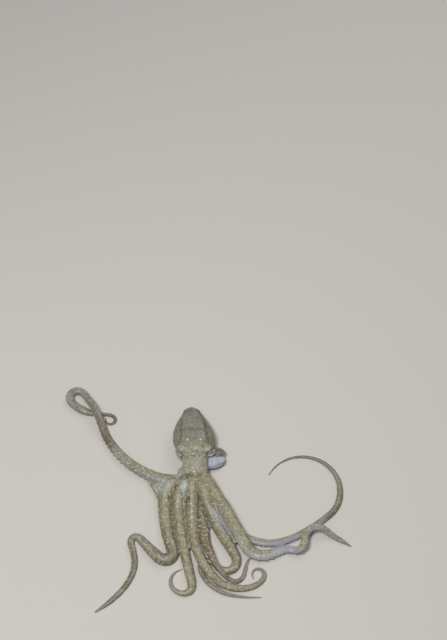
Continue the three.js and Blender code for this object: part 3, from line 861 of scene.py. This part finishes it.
# %% Lilac funnel and underside
FUNNEL_SPOTS = [(13.6, 13.2), (19.4, 12.4), (22.9, 14.8)]  # three small dusky spots near its front edge
way = FUNNEL_TO - FUNNEL_FROM
off = np.linalg.norm(np.cross(skin_mm - FUNNEL_FROM, way), axis=1) / np.linalg.norm(way)
in_funnel = (soft_step(6.3, 5.6, off) * soft_step(10.2, 11.2, x) * soft_step(28, 27, x)
             * soft_step(19.6, 18.6, y) * soft_step(9.6, 8.6, z)
             * (1 - soft_step(1.06, 0.98, leaf_share))
             * soft_step(5.0, 6.4, np.linalg.norm(skin_mm - eye_centre(1), axis=1)))
for spot in FUNNEL_SPOTS:
    in_funnel *= 1 - 0.6 * soft_step(1.1, 0.4, np.hypot(x - spot[0], y - spot[1]))
lilac = blend_in(oral, in_funnel, 0.12 * patch((-11.5, -3.5), 4.2), 0.1 * patch((10, -44), 6))
print("lilac skin, mean: %.2f" % lilac.mean())

# %% Blue, grey and dusky stretches, and two painted highlights
right, left = np.cos(angle) < 0, np.cos(angle) > 0  # an arm's own sides, as seen from its root
# Two wet, stretched places of the back carry a painted blue highlight: a short one by the crown and a long
# slanting one.
glint = (bump_at(-8, 2.4 + 0.08 * (y + 16), x) * soft_step(-22, -13, y) * soft_step(-5, -9, y)
         * facing_up)
slanting_sheen = bump_at(18.3 - 0.66 * (y + 35.7), 2.6, x) * soft_step(-28, -33, y) * soft_step(-55, -49, y)
# blue holds the two painted highlights and the arms' own bluish sides and stretches
blue = blend_in(
    0.9 * glint, 0.95 * slanting_sheen * facing_up,
    stretch("l4", 50, 124) * flank * right, stretch("l3", 92, 112, 4),
    0.55 * stretch("l3", 118, 154) * flank * right, 0.4 * stretch("l2", 150, 172))
grey = blend_in(
    0.9 * stretch("r4", 6, 68) * flank * left, 0.6 * stretch("r4", 102, 172),
    0.9 * stretch("l3", 62, 100) * flank * right, 0.4 * stretch("l3", 124, 156),
    0.5 * stretch("r3", 94, 116), 0.9 * patch((-25, -9), 10),
    0.5 * bump_at(11.4, 1.6, y) * soft_step(8, 5, np.abs(x)) * facing_up)
dusky = blend_in(
    0.8 * stretch("r4", 70, 96) * (1 - 0.6 * grey), stretch("r4", 172, 230), 0.25 * stretch("r4", 20, 230),
    0.7 * stretch("l4", 126, 152), 0.9 * stretch("l4", 180, 250), 0.3 * stretch("l4", 100, 250),
    0.6 * stretch("r3", 50, 200), 0.25 * stretch("l2", 16, 180))
print("blue %.2f, grey %.2f, dusky %.2f" % (blue.mean(), grey.mean(), dusky.mean()))

# %% White warts, lid edges and shine
LID_WHITE = {-1: 0.4, 1: 0.85}  # the lower lid's pale edge shows more on the left eye
shine = bump_at(-7.9, 0.9, x) * soft_step(-15, -12, y)
wart_tips = [soft_step(0.95, 0.35, np.hypot(x - spot[0], y - spot[1])) for spot in SPOTS]
# pale marks, with painted highlights added on the two shining places
white = blend_in(
    0.12 * leaf * bump_at(0, 0.8, edge_gap),
    0.5 * glint * shine + 0.25 * slanting_sheen * soft_step(-46, -34, y),
    0.2 * stretch("l3", 60, 100) * flank * right + 0.15 * patch((-25, -9), 10),
    *[tip * soft_step(0.2, 0.6, upness) for tip in wart_tips])
for side in (-1, 1):
    measure, distance, _ = opening_measure(skin_mm, side)
    _, _, across = eye_frame(side)
    lower = soft_step(0.1, -0.3, (skin_mm - eye_centre(side)) @ across)
    edge = bump_at(1.04, 0.09, measure) * (distance < EYE_RADIUS + 1)
    white = blend_in(white, LID_WHITE[side] * lower * edge)
    # a ring of painted shade just outside each eye's lids
    dark = blend_in(dark, 0.7 * bump_at(1.22, 0.1, measure) * (distance < EYE_RADIUS + 1.5))
dark *= 1 - 0.7 * np.maximum(glint, slanting_sheen)
print("white %.3f, dark %.2f" % (white.mean(), dark.mean()))

# %% Masks as attributes of the skin
MASKS = dict(mantle=mantle, head=head, brown=brown, mottled=mottled, leaf=leaf, rim=rim, thin=thin,
             dusky=dusky, ridge=ridge, grey=grey, blue=blue, lilac=lilac, dark=dark, white=white)


def add_layer(mesh, name, values):
    """Keeps one number for each vertex under a name that a material can read."""
    mesh.attributes.new(name, "FLOAT", "POINT").data.foreach_set("value", values.astype(np.float32))


for name, values in MASKS.items():
    add_layer(skin_mesh, name, values)
print("masks:", ", ".join(MASKS))

# %% [markdown]
# ## Writing shader maths as Python
# A material is a graph of small steps. This class wraps one socket, so that a mask can be written as
# `1 - mask * 0.5` and the Math nodes appear by themselves. Colours go through Mix nodes instead.

# %% The socket class
class Wire:
    """An output socket with the arithmetic of masks."""

    def __init__(self, tree, socket):
        self.tree, self.socket = tree, socket

    def node(self, kind, settings=(), out=0, **inputs):
        """Adds a node, sets what it is first, then its sockets from values or wires."""
        node = self.tree.nodes.new(kind)
        for key, value in dict(settings).items():
            setattr(node, key, value)
        for key, value in inputs.items():
            numbered = key[0] == "i" and key[1:].isdigit()  # i0, i1 and so on count the node's sockets
            socket = node.inputs[int(key[1:]) if numbered else key.replace("_", " ")]
            if isinstance(value, Wire):
                self.tree.links.new(value.socket, socket)
            else:
                socket.default_value = value
        return Wire(self.tree, node.outputs[out])

    def maths(self, operation, other, first=None):
        """A Math node on this value and another, or with first before this value."""
        left, right = (self, other) if first is None else (first, self)
        return self.node("ShaderNodeMath", dict(operation=operation), i0=left, i1=right)

    def __add__(self, other): return self.maths("ADD", other)
    def __radd__(self, other): return self.maths("ADD", None, first=other)
    def __sub__(self, other): return self.maths("SUBTRACT", other)
    def __rsub__(self, other): return self.maths("SUBTRACT", None, first=other)
    def __mul__(self, other): return self.maths("MULTIPLY", other)
    def __rmul__(self, other): return self.maths("MULTIPLY", None, first=other)
    def __pow__(self, other): return self.maths("POWER", other)

    def step(self, low, high):
        """A soft step from 0 at low to 1 at high."""
        return self.node("ShaderNodeMapRange", dict(interpolation_type="SMOOTHSTEP", clamp=True),
                         Value=self, From_Min=low, From_Max=high)

    def tint(self, under, over):
        """Goes from the colour under to the colour over as this mask goes from 0 to 1."""
        return self.node("ShaderNodeMix", dict(data_type="RGBA", clamp_factor=True), out=2,
                         i0=self, i6=under, i7=over)

    def feed(self, shader, name):
        """Links this value to one of the shader's sockets."""
        self.tree.links.new(self.socket, shader.inputs[name])


print("a wire can do:", ", ".join(name for name in vars(Wire) if not name.startswith("_")))

# %% Paints, finishes and patterns
def paint(red, green, blue):
    """A colour given in the 0 to 255 steps of a screen, made linear for the shader."""
    share = np.array((red, green, blue)) / 255
    linear = np.where(share <= 0.04045, share / 12.92, ((share + 0.055) / 1.055) ** 2.4)
    return (*linear.tolist(), 1.0)


def new_finish(name, **constants):
    """A material, its shader and its Object coordinates. What is the same all over goes straight onto the
    shader's own sockets."""
    material = bpy.data.materials.new(name)
    material.use_nodes = True
    tree = material.node_tree
    shader = tree.nodes["Principled BSDF"]
    for key, value in constants.items():
        shader.inputs[key.replace("_", " ")].default_value = value
    place = tree.nodes.new("ShaderNodeTexCoord").outputs["Object"]
    return material, shader, Wire(tree, place)


def fleck(place, size, detail=2.0, roughness=0.5):
    """Soft noise whose lumps are about size millimetres across."""
    return place.node("ShaderNodeTexNoise", dict(noise_dimensions="3D"), Vector=place,
                      Scale=1000 / size, Detail=detail, Roughness=roughness)


def dots(place, size):
    """Distance to the nearest of many scattered points, as a share of their spacing."""
    return place.node("ShaderNodeTexVoronoi", dict(feature="F1"), Vector=place, Scale=1000 / size)


def layer(place, name):
    """A number that was kept for each vertex under this name."""
    return place.node("ShaderNodeAttribute", dict(attribute_name=name), out=2)


print("mid grey as the shader sees it: %.3f" % paint(128, 128, 128)[0])

# %% [markdown]
# ## The skin's finish
# The ground colour is a khaki grey that wavers between greener and browner. Over it lie fine pale flecks
# and tiny dark colour cells. The underside and the funnel are pale lilac. Shade in folds, hollows and gaps,
# and a few highlights, are painted into the colour too. The skin is wet, so it has a low roughness with a
# thin clear coat, and a little light goes through it.

# %% The skin's paints
ARM, HEAD_PAINT, MANTLE_PAINT = paint(140, 132, 101), paint(161, 157, 135), paint(136, 134, 120)
PALE, OLIVE, BROWN = paint(208, 203, 184), paint(92, 86, 58), paint(126, 108, 78)
THIN, GREY, DUSK = paint(138, 125, 114), paint(146, 149, 142), paint(105, 95, 74)
BLUE_AND_SHEEN, LILAC, PALE_LILAC_SHEEN = paint(154, 158, 168), paint(168, 169, 191), paint(188, 191, 212)
SIDE, LEAF, LEAF_RIM = paint(134, 121, 102), paint(122, 119, 102), paint(124, 115, 114)
# The last paint on the next line is painted shade; it also darkens the first stretch of arm l1.
WHITE, CELL, SHADE_AND_DARK_PAINT = paint(226, 226, 220), paint(66, 58, 42), paint(66, 60, 40)
print("the arms' khaki, linear:", np.round(ARM[:3], 3))

# %% Skin material
skin_finish, shader, place = new_finish(
    "octopus skin", Coat_Weight=0.15, Coat_Roughness=0.2, Specular_IOR_Level=0.35, Subsurface_Weight=0.1,
    Subsurface_Radius=(0.0012, 0.0008, 0.0006), Subsurface_Scale=1.0)


def mask(name):
    """One of the skin's masks."""
    return layer(place, name)


broad, medium, fine = fleck(place, 9, 3), fleck(place, 2.8, 2), fleck(place, 1.7, 1)
pores = fleck(place, 1.6, 2, 0.6)
colour = mask("mantle").tint(mask("head").tint(ARM, HEAD_PAINT), MANTLE_PAINT)
colour = mask("brown").tint(colour, BROWN)
colour = (mask("mottled") * broad.step(0.15, 0.5)).tint(colour, SIDE)
colour = (mask("thin") * 0.85).tint(colour, THIN)
colour = mask("dusky").tint(colour, DUSK)
colour = (mask("grey") * broad.step(0.1, 0.5)).tint(colour, GREY)
# bluish skin, and the painted blue highlights of the two shining places
colour = (mask("blue") * (0.8 + 0.2 * medium)).tint(colour, BLUE_AND_SHEEN)
colour = mask("rim").tint(mask("leaf").tint(colour, LEAF), LEAF_RIM)
# painted highlight along the arms' backs, except on the brown stretch
colour = (mask("ridge") * 0.2 * (1 - mask("brown"))).tint(colour, PALE)
colour = (broad.step(0.48, 0.72) * 0.35 * (1 - mask("blue"))).tint(colour, OLIVE)
calm = 1 - 0.7 * mask("blue") - 0.6 * mask("thin")  # fewer flecks where the skin is stretched or thin
colour = (medium.step(0.5, 0.7) * (0.35 + 0.3 * mask("mottled")) * calm).tint(colour, OLIVE)
# painted shade of folds, hollows, gaps and lids, deeper where the noise is high
colour = (mask("dark") * (0.6 + 0.6 * medium)).tint(colour, SHADE_AND_DARK_PAINT)
smooth_parts = mask("mantle") * 0.45 + mask("leaf") * 0.5
colour = (fine.step(0.42, 0.84) * (0.75 - smooth_parts) * calm).tint(colour, PALE)
colour = (pores.step(0.54, 0.7) * 0.55 * (1 - 0.6 * mask("lilac")) * calm).tint(colour, OLIVE)
cells = dots(place, 1.1).step(0.34, 0.14) * fleck(place, 5, 2).step(0.4, 0.55)
colour = (cells * 0.6).tint(colour, CELL)
# lilac turns paler in soft patches, painted as small highlights of the wet skin
colour = (mask("lilac") * (0.7 + 0.3 * medium)).tint(colour, medium.step(0.45, 0.7).tint(LILAC, PALE_LILAC_SHEEN))
# pale marks, and painted highlights on the two shining places
colour = mask("white").tint(colour, WHITE)
wrinkle = fine + 0.6 * fleck(place, 0.45, 2)
colour.feed(shader, "Base Color")
(0.34 + 0.2 * medium).feed(shader, "Roughness")
place.node("ShaderNodeBump", Strength=0.3, Distance=0.0003, Height=wrinkle).feed(shader, "Normal")
print("skin finish:", len(place.tree.nodes), "nodes")

# %% The skin takes its finish and the solids' place
skin_mesh.materials.clear()
skin_mesh.materials.append(skin_finish)
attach(skin, "root")
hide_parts(*[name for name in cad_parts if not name.startswith("eye")])

# %% [markdown]
# ## Suckers
# Each arm has two rows of suckers that take turns, and they shrink towards the tip. A sucker is a small
# cup: a rim, a sloping funnel inside it and a pit. One profile turned round gives the cup, and whole
# arrays of them are placed at once along the sucker side. Where the arm lies on them they face the ground.
# A cup is open at its foot, which sits a little below the surface that was worked out for the arm.

# %% Where the suckers sit
CUP = np.array([(0.72, 0.0), (1.0, 0.5), (0.92, 0.95), (0.6, 0.75), (0.25, 0.2)])  # radius and height
CUP_SIDES, CUP_SUNK, PIT_SUNK = 8, 0.4, 0.3  # how deep the cup's foot and pit lie, as shares of its radius
SPACING, SUCKER_SIZE = 0.52, 0.25  # the gap along the arm and the cup's radius, as shares of its half width
LEAST_GAP, LEAST_SIZE = 0.35, 0.14  # the least that each may be, in mm
ROW_ANGLE, FIRST_SUCKER, BARE_TIP = 34, 13.0, 6  # degrees either side; mm from the root, and from the tip
AHEAD, ASIDE = 0.3, 0.1  # small moves along and round the arm, which show how its skin faces
TOUCHING, OBLIQUE = 0.05, (0.31, 0.87, 0.38)  # this near the ground is on it; no sucker looks this way


def sucker_places(arm):
    """Distances along the arm whose gaps shrink with the arm's half width."""
    s, places = FIRST_SUCKER, []
    while s < arm["route"]["length"] - BARE_TIP:
        places.append(s)
        s += max(LEAST_GAP, SPACING * float(read(arm, "girth", s)))
    return np.array(places)


print("suckers on each arm:", {name: len(sucker_places(arm)) for name, arm in ARMS.items()})

# %% The cups of one arm
def suckers(arm):
    """Cups in two rows. The way out of the skin is the cross product of the moves round and along the arm;
    a cup is its profile turned about that, with radius and height scaled by its size."""
    s = sucker_places(arm)
    row = np.where(np.arange(len(s)) % 2, 1, -1)
    angle = np.radians(-90 + ROW_ANGLE * row)
    base = arm_points(arm, s, angle)
    onward = arm_points(arm, s + AHEAD, angle) - base
    sideways = arm_points(arm, s, angle + ASIDE) - arm_points(arm, s, angle - ASIDE)
    out = np.cross(sideways, onward)
    out[:, 2] -= 1e-4  # so that none has no length
    out[base[:, 2] < SUCKER_ROOM * read(arm, "girth", s) + TOUCHING] = (0, 0, -1)
    out /= np.linalg.norm(out, axis=1, keepdims=True)
    first = np.cross(out, OBLIQUE)
    first /= np.linalg.norm(first, axis=1, keepdims=True)
    second = np.cross(out, first)
    size = np.maximum(SUCKER_SIZE * read(arm, "girth", s), LEAST_SIZE)
    turn = circle(CUP_SIDES)
    ring = np.cos(turn)[None, :, None] * first[:, None] + np.sin(turn)[None, :, None] * second[:, None]
    rings = (base[:, None, None]
             + (size[:, None, None, None] * CUP[None, :, 0, None, None]) * ring[:, None]
             + (size[:, None, None, None] * (CUP[None, :, 1, None, None] - CUP_SUNK)) * out[:, None, None])
    pit = base[:, None] + out[:, None] * (size * -PIT_SUNK)[:, None, None]
    rings[..., 2] = np.maximum(rings[..., 2], 0.0)
    return np.concatenate([rings.reshape(len(s), -1, 3), pit], 1)


print("points in a cup:", suckers(ARMS["l1"]).shape[1])

# %% All the cups
def cup_faces(count):
    """Four-cornered faces between a cup's rings and triangles down to its pit, for so many cups."""
    rows, side = len(CUP), np.arange(CUP_SIDES)
    after = np.roll(side, -1)
    ring = np.arange(rows - 1)[:, None] * CUP_SIDES
    quads = np.stack([ring + side, ring + after, ring + CUP_SIDES + after, ring + CUP_SIDES + side], -1)
    last = (rows - 1) * CUP_SIDES
    close = np.stack([side + last, after + last, np.full(CUP_SIDES, rows * CUP_SIDES)], -1)
    stride = np.arange(count)[:, None, None] * (rows * CUP_SIDES + 1)
    return [(quads.reshape(-1, 4) + stride).reshape(-1, 4), (close + stride).reshape(-1, 3)]


cups = np.concatenate([suckers(arm) for arm in ARMS.values()])
sucker_rows = mesh_of("suckers", (cups.reshape(-1, 3) + CROWN) / 1000, cup_faces(len(cups)))
sucker_rows.data.shade_smooth()
print("suckers:", len(cups))

# %% Sucker material
sucker_finish, shader, place = new_finish(
    "sucker", Roughness=0.4, Coat_Weight=0.25, Coat_Roughness=0.15, Subsurface_Weight=0.1,
    Subsurface_Radius=(0.001, 0.0007, 0.0006), Subsurface_Scale=1.0)
colour = fleck(place, 2.2, 2).step(0.35, 0.7).tint(paint(168, 166, 178), paint(146, 140, 146))
colour = (fleck(place, 14, 2).step(0.4, 0.7) * 0.5).tint(colour, paint(170, 160, 142))
colour.feed(shader, "Base Color")
sucker_rows.data.materials.append(sucker_finish)
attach(sucker_rows, "root")
print("sucker finish:", sucker_finish.name)

# %% [markdown]
# ## The eyes
# The eye is a silvery ball with a level dark slit, shaded from above by the upper lid. The ball is made of
# rings round the way it looks. Each point keeps two shares of the radius, along the opening and across it,
# and the slit and the iris are drawn from those.

# %% Eyeballs
BALL_POLE = 0.03  # the first and last ring's angle from the line of sight


def eyeball(side):
    """A sphere in rings round its own line of sight, with the along and across shares of each point."""
    look, level, across = eye_frame(side)
    polar, turn = np.linspace(BALL_POLE, np.pi - BALL_POLE, 48)[:, None, None], circle(64)[None, :, None]
    unit = np.cos(polar) * look + np.sin(polar) * (np.cos(turn) * level + np.sin(turn) * across)
    centre, front = eye_centre(side), EYE_RADIUS * look
    points, blocks = tube(centre + EYE_RADIUS * unit, centre + front, centre - front)
    return points, blocks, (points - centre) @ np.stack([level, across], 1) / EYE_RADIUS


print("eyeball points:", len(eyeball(1)[0]))

# %% Eye material, and both eyes
SLIT_ALONG, SLIT_ACROSS = 2.6, 36  # one over the square of its half length and half height, as shares
eye_finish, shader, place = new_finish("eye", Roughness=0.12, Coat_Weight=0.8, Coat_Roughness=0.03)
level_share, across_share = layer(place, "level_share"), layer(place, "across_share")
silver = fleck(place, 0.7, 3).step(0.35, 0.7).tint(paint(150, 152, 158), paint(178, 180, 188))
around_iris = (level_share * level_share + across_share * across_share) ** 0.5
iris = around_iris.step(0.66, 0.9).tint(silver, paint(96, 102, 108))
shaded = (across_share.step(0.1, 0.42) * 0.75).tint(iris, paint(118, 117, 92))
slit = (across_share * across_share * SLIT_ACROSS + level_share * level_share * SLIT_ALONG).step(1.25, 0.8)
(slit * 0.55).tint(shaded, paint(44, 46, 54)).feed(shader, "Base Color")

balls = []
for name, side in (("eye_right", -1), ("eye_left", 1)):
    points, blocks, shares = eyeball(side)
    ball = mesh_of(name + "_ball", (points + CROWN) / 1000, blocks)
    add_layer(ball.data, "level_share", shares[:, 0])
    add_layer(ball.data, "across_share", shares[:, 1])
    ball.data.shade_smooth()
    ball.data.materials.append(eye_finish)
    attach(ball, "root")
    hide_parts(name)
    balls.append(ball)
print("eyes made:", len(balls))

# %% [markdown]
# ## Faces that point outwards
# A surface worked out from a formula can come out inside out. A closed shell's signed volume tells: it is
# negative if the faces look inwards. The suckers' open feet make theirs rough, but its sign still tells.

# %% Turn any piece that is inside out
def signed_volume(mesh):
    """The sum over all triangles of corner a, dot, (corner b, cross, corner c), over six."""
    mesh.calc_loop_triangles()
    corners = np.empty(len(mesh.loop_triangles) * 3, dtype=np.int32)
    mesh.loop_triangles.foreach_get("vertices", corners)
    a, b, c = coordinates(mesh)[corners.reshape(-1, 3)].transpose(1, 0, 2)
    return float(np.einsum("ij,ij->", a, np.cross(b, c)) / 6)


for piece in (skin, sucker_rows, *balls):
    if signed_volume(piece.data) < 0:
        piece.data.flip_normals()
    print(piece.name, "volume (cm3): %.2f" % (signed_volume(piece.data) * 1e6))

# %% [markdown]
# ## Floor, light and camera
# The octopus is shown on a plain pale floor under soft light from above, with a weaker fill from the far
# side. The camera looks steeply down over the arms, towards the mantle.

# %% Floor
FLOOR_HALF = 3.0  # metres
corners = np.array([(-1, -1, 0), (1, -1, 0), (1, 1, 0), (-1, 1, 0)]) * FLOOR_HALF
ground = mesh_of("floor", corners, [np.arange(4)[None]])
floor_finish, _, _ = new_finish("pale floor", Roughness=0.85, Base_Color=paint(206, 202, 194))
ground.data.materials.append(floor_finish)
print("floor (m):", 2 * FLOOR_HALF, "square")

# %% Lights
def soft_light(name, place, size, power):
    """A square area light that looks at the middle of the model."""
    lamp = bpy.data.lights.new(name, "AREA")
    lamp.shape, lamp.size, lamp.energy = "SQUARE", size, power
    obj = linked(name, lamp)
    obj.location = place
    obj.rotation_euler = (-Vector(place)).to_track_quat("-Z", "Y").to_euler()


soft_light("key", (-0.25, -0.25, 1.1), 0.4, 8.5)
soft_light("far fill", (0.5, 0.7, 0.8), 0.7, 2.4)
world = bpy.data.worlds.new("studio")
world.use_nodes = True
sky = world.node_tree.nodes["Background"]
sky.inputs["Color"].default_value = (0.9, 0.93, 1.0, 1)
sky.inputs["Strength"].default_value = 0.26
bpy.context.scene.world = world
bpy.context.scene.view_settings.view_transform = "Standard"  # shows each paint as it was mixed
print("lights:", len(bpy.data.lights))

# %% Camera
LOOK_DOWN, SUBJECT_DISTANCE = 53.7, 1150  # degrees below level, and mm from the lens
VIEW_LENGTH, SENSOR = 512, 36  # mm seen at that distance along the frame's long side, and mm of sensor
AIM_ASIDE, AIM_UP = 22.8, 126.4  # where the frame's middle is from the crown, across and up the view
AIM_HEIGHT = 4.5
down = np.radians(LOOK_DOWN)
forward = np.array([0, np.cos(down), -np.sin(down)])
upward = np.array([0, np.sin(down), np.cos(down)])
aim = CROWN + (0, 0, AIM_HEIGHT) + AIM_ASIDE * np.array([1, 0, 0]) + AIM_UP * upward
stand = aim - SUBJECT_DISTANCE * forward
lens = bpy.data.cameras.new("camera")
lens.sensor_width = SENSOR
lens.lens = SENSOR * SUBJECT_DISTANCE / VIEW_LENGTH
lens.clip_start = 0.01
camera = linked("camera", lens)
camera.location = stand / 1000
camera.rotation_euler = Vector(forward).to_track_quat("-Z", "Y").to_euler()
bpy.context.scene.camera = camera
print("camera height (mm): %.0f, lens %.1f" % (stand[2], lens.lens))
